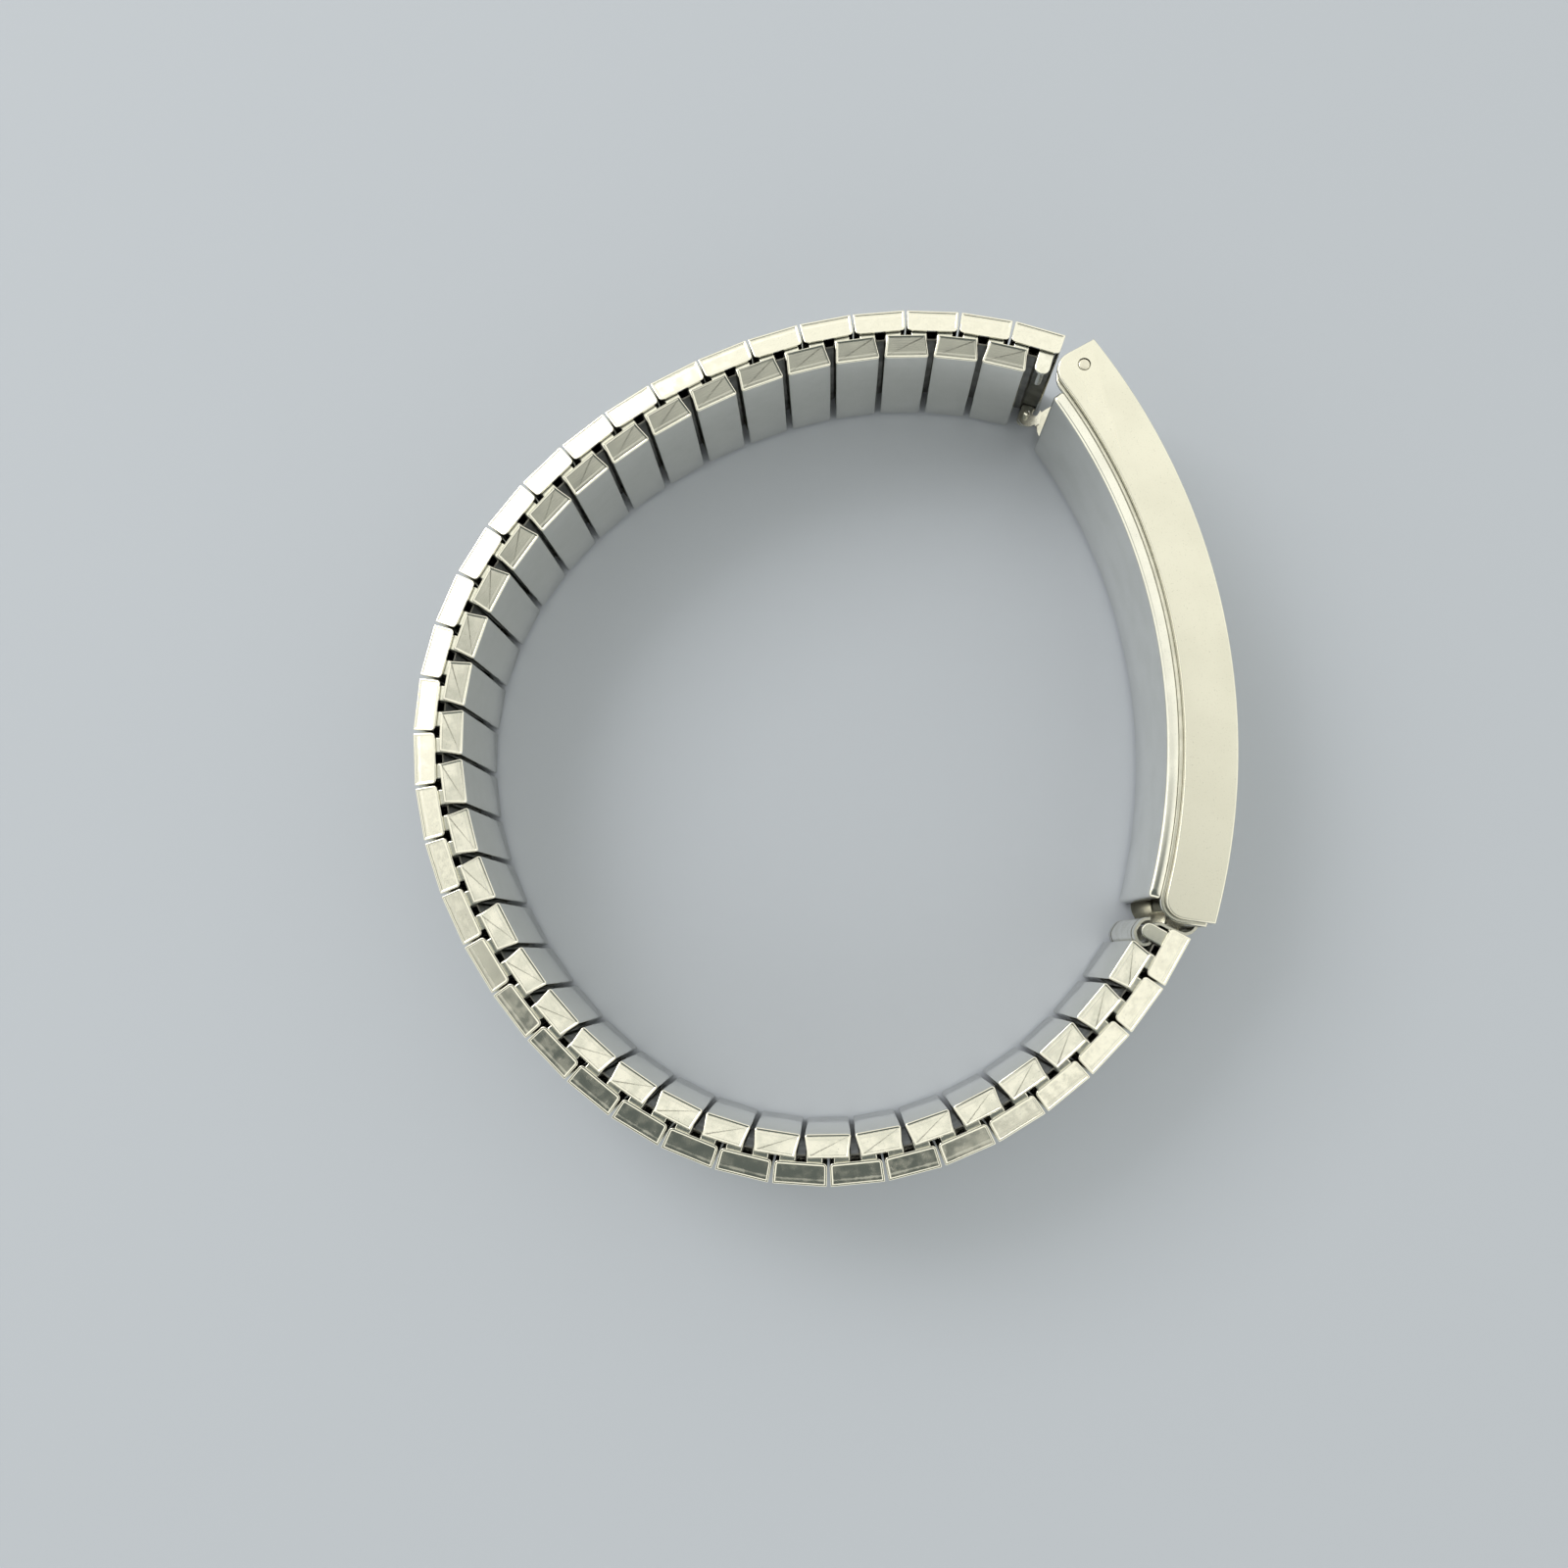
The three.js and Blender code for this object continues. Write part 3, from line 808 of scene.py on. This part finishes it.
# Staples: a flat web across the row gap at each edge of the band, with a round leg at each end

staple = {
    "webWidth": 1.3, "webReach": 1.3, "webLow": 0.42, "webThick": 0.26, "cornerRadius": 0.34, "edge": 0.06,
    "legDepth": 0.92, "legRadius": 0.3, "legLength": 2.9, "legSides": 8, "tipLength": 0.12, "tipShare": 0.6,
    "legInWeb": 0.02, "endReach": 1.78, "endLegDepth": 1.37, "endTipRadius": 0.6, "stiffPart": 0.25,
}
legOffset = band["pitch"] / 4


def joinPieces(name, pieces):
    soup = bmesh.new()
    for piece in pieces:
        soup.from_mesh(piece.data)
    mesh = bpy.data.meshes.new(name)
    soup.to_mesh(mesh)
    soup.free()
    for piece in pieces:
        bpy.data.objects.remove(piece)
    joined = bpy.data.objects.new(name, mesh)
    scene.collection.objects.link(joined)
    return joined


def ringOf(x, y, radius, z, sides):
    turns = [2 * math.pi * i / sides for i in range(sides)]
    return [(x + radius * math.cos(a), y + radius * math.sin(a), z) for a in turns]


# Both edges' staples at one joint; innerReach is how far the webs go towards the wrist
def makeStaple(sizes, innerReach, innerLeg):
    half, reach = sizes["webWidth"] / 2, sizes["webReach"]
    r = sizes["cornerRadius"]
    tip = sizes["endTipRadius"] if innerReach > reach else r
    atInner = [(half, innerReach, tip), (-half, innerReach, tip)]
    outline = roundedLoop([(-half, -reach, r), (half, -reach, r)] + atInner, 3)
    edge = sizes["edge"]
    profile = [(0, edge), (0.3 * edge, 0.3 * edge), (edge, 0), (edge + 0.04, 0)]
    parts = []
    for upper in (False, True):
        low = band["width"] - sizes["webLow"] - sizes["webThick"] if upper else sizes["webLow"]
        parts.append(profiledPrism("web", outline, low, low + sizes["webThick"], profile))
        for y in (-sizes["legDepth"], innerLeg):
            radius = sizes["legRadius"]
            first = sizes["webLow"] + sizes["webThick"] - sizes["legInWeb"]
            last = first + sizes["legLength"]
            levels = [(radius, first), (radius, last - sizes["tipLength"])]
            levels.append((sizes["tipShare"] * radius, last))
            if upper:
                levels = [(across, band["width"] - z) for across, z in levels][::-1]
            rings = [ringOf(0, y, across, z, sizes["legSides"]) for across, z in levels]
            parts.append(skinRings("leg", rings))
    return markOwnPlace(smoothed(joinPieces("staple", parts), shading["wireSharpFrom"]))


# Spring strips: a sheet behind each cover's opening, with a ridge that shows between two inner cases; their
# steel is painted dark as shade

springStrip = {
    "half": 1.9, "ridge": 0.40, "flatAt": -0.42, "ridgeAt": 0.2, "thick": 0.14, "shoulder": 0.14,
    "ridgeRound": 0.08, "ridgeDrop": 0.06, "endInset": 0.9, "edge": 0.04,
}


def makeSpringStrip(sizes):
    half, ridge, bend = sizes["half"], sizes["ridge"], sizes["shoulder"]
    low, high = sizes["flatAt"], sizes["ridgeAt"]
    fold = (ridge + 0.3 * bend, low + 0.3 * (high - low))
    right = [
        (ridge - sizes["ridgeRound"], high), (ridge, high - sizes["ridgeDrop"]), fold,
        (ridge + bend, low), (half, low),
    ]
    left = [(-x, y) for x, y in right[::-1]]
    outline = thickLine([Vector(p) for p in left + right], sizes["thick"])
    profile = [(0, sizes["edge"]), (0.75 * sizes["edge"], 0)]
    inset = sizes["endInset"]
    strip = profiledPrism("springStrip", outline, inset, band["width"] - inset, profile)
    return markOwnPlace(smoothed(strip, shading["stripSharpFrom"]))


# The closed outline of a line with a thickness, anticlockwise
def thickLine(points, thick):
    left = []
    right = []
    for i, here in enumerate(points):
        before = (here - points[i - 1]).normalized() if i else None
        after = (points[i + 1] - here).normalized() if i + 1 < len(points) else None
        along = ((before or after) + (after or before)).normalized()
        side = Vector((-along.y, along.x))
        lean = max(0.6, along.dot(after or before))
        left.append(here + side * (thick / 2 / lean))
        right.append(here - side * (thick / 2 / lean))
    return right + left[::-1]


baseCover = makeOuterCover(outerCover)
baseCase = makeInnerCase(innerCase)
baseStaple = makeStaple(staple, staple["webReach"], staple["legDepth"])
baseEndStaple = makeStaple(staple, staple["endReach"], staple["endLegDepth"])
baseStrip = makeSpringStrip(springStrip)
bases = [baseCover, baseCase, baseStaple, baseEndStaple, baseStrip]
print("link pieces:", [len(b.data.polygons) for b in bases])

seedFrom = {"cover": 0, "strip": 200, "case": 400, "staple": 600, "endStaple": 900}

for k in range(1, band["outerCount"] + 1):
    body = outerBody(k)
    place = outerPlace(k)
    node = ("outer_link_%02d" if body.startswith("outer") else "link_pair_%02d") % k
    seed = seedFrom["cover"] + k
    cover = placePiece("outer_cover_%02d" % k, baseCover, "outerSteel", place, outerCover["play"], seed)
    wear(cover, "outerSteel", body, "link_steel", node)
    seed = seedFrom["strip"] + k
    # The spring strip's dark finish is painted shade for the gaps between the links
    strip = placePiece("spring_strip_%02d" % k, baseStrip, "springStrip", place, 0, seed)
    wear(strip, "springStrip", body, "casing_steel")
print("outer covers and spring strips placed")

for k in range(1, band["outerCount"]):
    body = innerBody(k)
    seed = seedFrom["case"] + k
    case = placePiece("inner_case_%02d" % k, baseCase, "caseSteel", innerPlace(k), innerCase["play"], seed)
    nodes = ["inner_link_%02d" % k] if body.startswith("inner") else []
    wear(case, "caseSteel", body, "polished_steel", *nodes)
print("inner cases placed")

# Staples: each rides on its inner link, or, where the two links slide apart, is left on no body with its
# place baked into its mesh
for k in range(1, band["outerCount"]):
    for side, outer in ((-1, k), (1, k + 1)):
        angle = innerPlace(k)[1]
        spot = worldPoint(innerPlace(k), side * legOffset, 0)
        name = "staple_%02d_%s" % (k, "a" if side < 0 else "b")
        seed = seedFrom["staple"] + 2 * k + (side > 0)
        piece = placePiece(name, baseStaple, "stapleWire", (spot, angle), 0, seed)
        slides = (side > 0) if k < halfway else (side < 0 and k > halfway)
        if not slides:
            wear(piece, "stapleWire", innerBody(k), "polished_steel")
            continue
        piece.data.materials.clear()
        piece.data.materials.append(metals["stapleWire"])
        smoothed(piece, shading["wireSharpFrom"])
        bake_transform(piece)

for k, side in ((1, -1), (band["outerCount"], 1)):
    angle = outerPlace(k)[1]
    spot = worldPoint(outerPlace(k), side * legOffset, 0)
    seed = seedFrom["endStaple"] + k
    piece = placePiece("end_staple_%02d" % k, baseEndStaple, "stapleWire", (spot, angle), 0, seed)
    wear(piece, "stapleWire", outerBody(k), "polished_steel")
print("staples placed")

for base in bases:
    bpy.data.objects.remove(base)

# Plate: show shell, inner layer, polished back and pins

plate = {
    "flangeDepth": 4.46, "wall": 0.5, "endSlant": 8, "cornerRadius": 1.9, "edge": 0.1, "steps": 48,
    "holeRadius": 0.565, "cornerSteps": 8,
}


def platePoint(angle, depth):
    r = band["plateRadius"] - depth
    return Vector((r * math.cos(angle) - band["plateRadius"] + sag, r * math.sin(angle))) + plateShift


# A sector of the plate's ring: its ends lean outwards with depth, and its inner corners may be rounded.
def sectorLoop(depthOut, depthIn, radius=0.0, beyond=(0, 0), slant=None):
    slant = plate["endSlant"] if slant is None else slant
    steps = plate["steps"]
    lean = math.tan(math.radians(slant))

    def endAngle(side, depth, back):
        r = band["plateRadius"] - depth
        return side * (halfAngle + (depth * lean + beyond[side > 0] - back) / r)

    def along(depth, back):
        first, last = endAngle(-1, depth, back), endAngle(1, depth, back)
        return [platePoint(first + (last - first) * i / steps, depth) for i in range(steps + 1)]

    def corner(side):
        points = []
        for i in range(plate["cornerSteps"] if radius else 0):
            a = i / plate["cornerSteps"] * math.pi / 2
            depth = depthIn - radius * (1 - math.sin(a))
            points.append(platePoint(endAngle(side, depth, radius * (1 - math.cos(a))), depth))
        return points

    return along(depthOut, 0) + corner(1) + along(depthIn, radius)[::-1] + corner(-1)[::-1]


pinSizes = {
    "radius": 0.5, "inset": 0.04, "fromEnd": 1.3, "depth": 2.05, "sides": 28, "hidden": 0.9, "holeReach": 2,
    "head": ((0.3, 0.0), (0.4, 0.0), (0.45, 0.012), (0.485, 0.05), (0.5, 0.11)), "plainTip": (0.8, 0.1),
}
pinAngle = halfAngle - pinSizes["fromEnd"] / (band["plateRadius"] - pinSizes["depth"])
pinPlaces = {
    "upper": platePoint(pinAngle, pinSizes["depth"]),
    "lower": platePoint(-pinAngle, pinSizes["depth"]),
}
top = band["width"]


def pinHole(which, radius):
    p = pinPlaces[which]
    reach = pinSizes["holeReach"]
    levels = (top - reach, top + 1) if which == "upper" else (-1, reach)
    return skinRings("hole", [ringOf(p.x, p.y, radius, z, pinSizes["sides"]) for z in levels])


# A pocket in a shell of the plate, open to the wrist and walled at both edges
def platePocket(depthOut, depthIn, beyond, wall):
    pocket = sectorLoop(depthOut, depthIn, 0, (beyond, beyond), 0)
    return skinRings("pocket", [[(p.x, p.y, z) for p in pocket] for z in (wall, top - wall)])


def makePlateShell(sizes):
    outline = sectorLoop(0, sizes["flangeDepth"], sizes["cornerRadius"])
    edge = sizes["edge"]
    shares = [(0, 1), (0.3, 0.4), (0.8, 0.1), (1.3, 0), (1.8, 0)]
    profile = [(inset * edge, drop * edge) for inset, drop in shares]
    shell = profiledPrism("plate_shell_steel", outline, 0, top, profile, [1, 0, 0, 1, 1])
    cutter = platePocket(sizes["wall"], 2 * sizes["flangeDepth"], 2, sizes["wall"])
    return cutAway(shell, cutter, *[pinHole(which, sizes["holeRadius"]) for which in pinPlaces])


plateLayer = {
    "from": 0.54, "past": 0.36, "wall": 0.3, "below": 0.6, "beyondUpper": -0.25, "beyondLower": 0.34,
    "cornerMore": 0.3, "holeRadius": 0.52,
}


# The layer under the shell, whose edge shows past the flange and round its lower corner
def makePlateLayer(sizes):
    radius = plate["cornerRadius"] + sizes["cornerMore"]
    depth = plate["flangeDepth"] + sizes["past"]
    outline = sectorLoop(sizes["from"], depth, radius, (sizes["beyondLower"], sizes["beyondUpper"]))
    edge = plate["edge"]
    profile = [(inset * edge, drop * edge) for inset, drop in ((0, 1), (0.3, 0.3), (1, 0), (1.5, 0))]
    layer = profiledPrism("plate_layer", outline, sizes["below"], top - sizes["below"], profile)
    cutter = platePocket(sizes["from"] + sizes["wall"], 2 * depth, 3, sizes["below"] + sizes["wall"])
    return cutAway(layer, cutter, *[pinHole(which, sizes["holeRadius"]) for which in pinPlaces])


plateBack = {
    "depth": 4.86, "thick": 1.02, "inset": 0.36, "wristRadius": 0.3, "otherRadius": 0.14,
    "upperEnd": 2.0, "lowerEnd": 0.7, "steps": 60, "endRound": 0.35, "endSteps": 5, "endInset": 0.9,
}


# The polished back: a rounded bar's section swept along the plate's curve, with rounded ends
def makePlateBack(sizes):
    low, high = sizes["inset"], top - sizes["inset"]
    near, far = sizes["depth"], sizes["depth"] + sizes["thick"]
    section = roundedLoop([
        (near, low, sizes["otherRadius"]), (far, low, sizes["wristRadius"]),
        (far, high, sizes["wristRadius"]), (near, high, sizes["otherRadius"]),
    ], 6)
    r = band["plateRadius"] - near
    first = -halfAngle + sizes["lowerEnd"] / r
    last = halfAngle - sizes["upperEnd"] / r
    stops = [(first + (last - first) * i / sizes["steps"], 0) for i in range(1, sizes["steps"])]
    ends = []
    for i in range(sizes["endSteps"] + 1):
        a = i / sizes["endSteps"] * math.pi / 2
        back = sizes["endRound"] * (1 - math.sin(a)) / r
        ends.append((back, sizes["endRound"] * (1 - math.cos(a)) * sizes["endInset"]))
    start = [(first + back, inset) for back, inset in ends[::-1]]
    finish = [(last - back, inset) for back, inset in ends]
    rings = []
    for angle, inset in start + stops + finish:
        loop = insetLoop(section, inset) if inset else section
        ring = []
        for p in loop:
            q = platePoint(angle, p.x)
            ring.append((q.x, q.y, p.y))
        rings.append(ring)
    return skinRings("plate_back", rings)


# A pin: a turned head just inside the plate's edge face, and a plain end hidden below the other edge
def makePin(which, sizes):
    p = pinPlaces[which]
    r = sizes["radius"]
    share, tip = sizes["plainTip"]
    levels = [(radius, sizes["inset"] + z) for radius, z in sizes["head"]]
    levels += [(r, top - sizes["hidden"] - tip), (share * r, top - sizes["hidden"])]
    if which == "upper":
        levels = [(radius, top - z) for radius, z in levels][::-1]
    rings = [ringOf(p.x, p.y, radius, z, sizes["sides"]) for radius, z in levels]
    return skinRings("plate_pin_" + which, rings)


shell = makePlateShell(plate)
wear(shell, "plateSatin", "plate", "plate_steel", "plate_shell")
wear(makePlateLayer(plateLayer), "layerSteel", "plate", "plate_steel")
wear(makePlateBack(plateBack), "linerPolish", "plate", "polished_steel", "plate_liner")
for which in pinPlaces:
    wear(makePin(which, pinSizes), "pinTurned", "plate", "pin_steel", "pin_" + which)
print("plate, back and pins")

# Connectors: one strip each, curled round the plate's pin and looped round the end staples' legs

connector = {
    "thick": 0.29, "inset": 1.35, "edge": 0.05, "pinCurl": 0.8, "smooth": 4,
    "notchFrom": 1.0, "notchWidth": 0.35, "notchReach": 1.5, "notchSides": 8,
    "turn": (40, 90, 140, 180, 225, 262),
    "upper": {
        "legAt": (0.62, 5.10),
        "line": (
            (-0.4, 1.22), (0.4, 1.3), (0.92, 1.85), (0.8, 2.9), (0.35, 3.72), (0.1, 4.35), (0.6, 4.42),
            (1.15, 4.6), (1.36, 5.15), (1.06, 5.83), (0.5, 6.06), (-0.2, 5.93), (-0.62, 5.5), (-0.75, 5.03),
        ),
    },
    "lower": {
        "legAt": (2.0, 5.22),
        "line": (
            (-0.45, 1.22), (0.31, 1.18), (0.86, 1.3), (1.32, 1.72), (1.41, 2.3), (1.35, 2.99),
            (1.25, 3.6), (1.18, 4.15), (1.5, 4.56), (2.2, 4.4), (2.95, 4.55), (3.24, 5.07), (2.99, 5.6),
            (2.41, 5.93), (1.79, 5.85), (1.24, 5.54), (0.95, 4.98),
        ),
    },
}


# A point beyond a plate end: u along the plate past its outer corner, v towards the wrist
def endPoint(which, u, v):
    s = 1 if which == "upper" else -1
    a = s * halfAngle
    corner = platePoint(a, 0)
    onward = Vector((-math.sin(a), math.cos(a))) * s
    inward = Vector((-math.cos(a), -math.sin(a)))
    return corner + onward * u + inward * v


# A smooth curve through every point, with the given steps between two of them
def smoothLine(points, steps):
    whole = []
    for i in range(len(points) - 1):
        p0, p1, p2, p3 = (points[max(0, min(len(points) - 1, i + d))] for d in (-1, 0, 1, 2))
        for s in range(steps):
            t = s / steps
            square = (2 * p0 - 5 * p1 + 4 * p2 - p3) * t * t
            cube = (3 * p1 - p0 - 3 * p2 + p3) * t ** 3
            whole.append(0.5 * ((2 * p1) + (p2 - p0) * t + square + cube))
    return whole + [points[-1]]


def makeConnector(which, sizes):
    own = sizes[which]
    pinAt = Vector((-pinSizes["fromEnd"], pinSizes["depth"]))
    turns = [math.radians(a) for a in sizes["turn"]]
    curl = [pinAt + sizes["pinCurl"] * Vector((math.cos(a), math.sin(a))) for a in turns]
    line = smoothLine(curl + [Vector(p) for p in own["line"]], sizes["smooth"])
    placed = [endPoint(which, p.x, p.y) for p in line]
    outline = thickLine(placed, sizes["thick"])
    area = sum(p.cross(outline[(i + 1) % len(outline)]) for i, p in enumerate(outline))
    if area < 0:
        outline.reverse()
    low, high = sizes["inset"], top - sizes["inset"]
    profile = [(0, sizes["edge"]), (0.6 * sizes["edge"], 0), (0.9 * sizes["edge"], 0)]
    strip = profiledPrism("connector_strip_" + which, outline, low, high, profile)
    leg = endPoint(which, *own["legAt"])
    reach = sizes["notchReach"]
    cutters = []
    for first in (low + sizes["notchFrom"], high - sizes["notchFrom"] - sizes["notchWidth"]):
        loop = ringOf(leg.x, leg.y, reach, 0, sizes["notchSides"])
        levels = (first, first + sizes["notchWidth"])
        cutters.append(skinRings("notch", [[(x, y, z) for x, y, _ in loop] for z in levels]))
    return cutAway(strip, *cutters)


for which in pinPlaces:
    strip = makeConnector(which, connector)
    wear(strip, "rolledStrip", "connector_" + which, "connector_steel", "connector_" + which)
print("connectors")
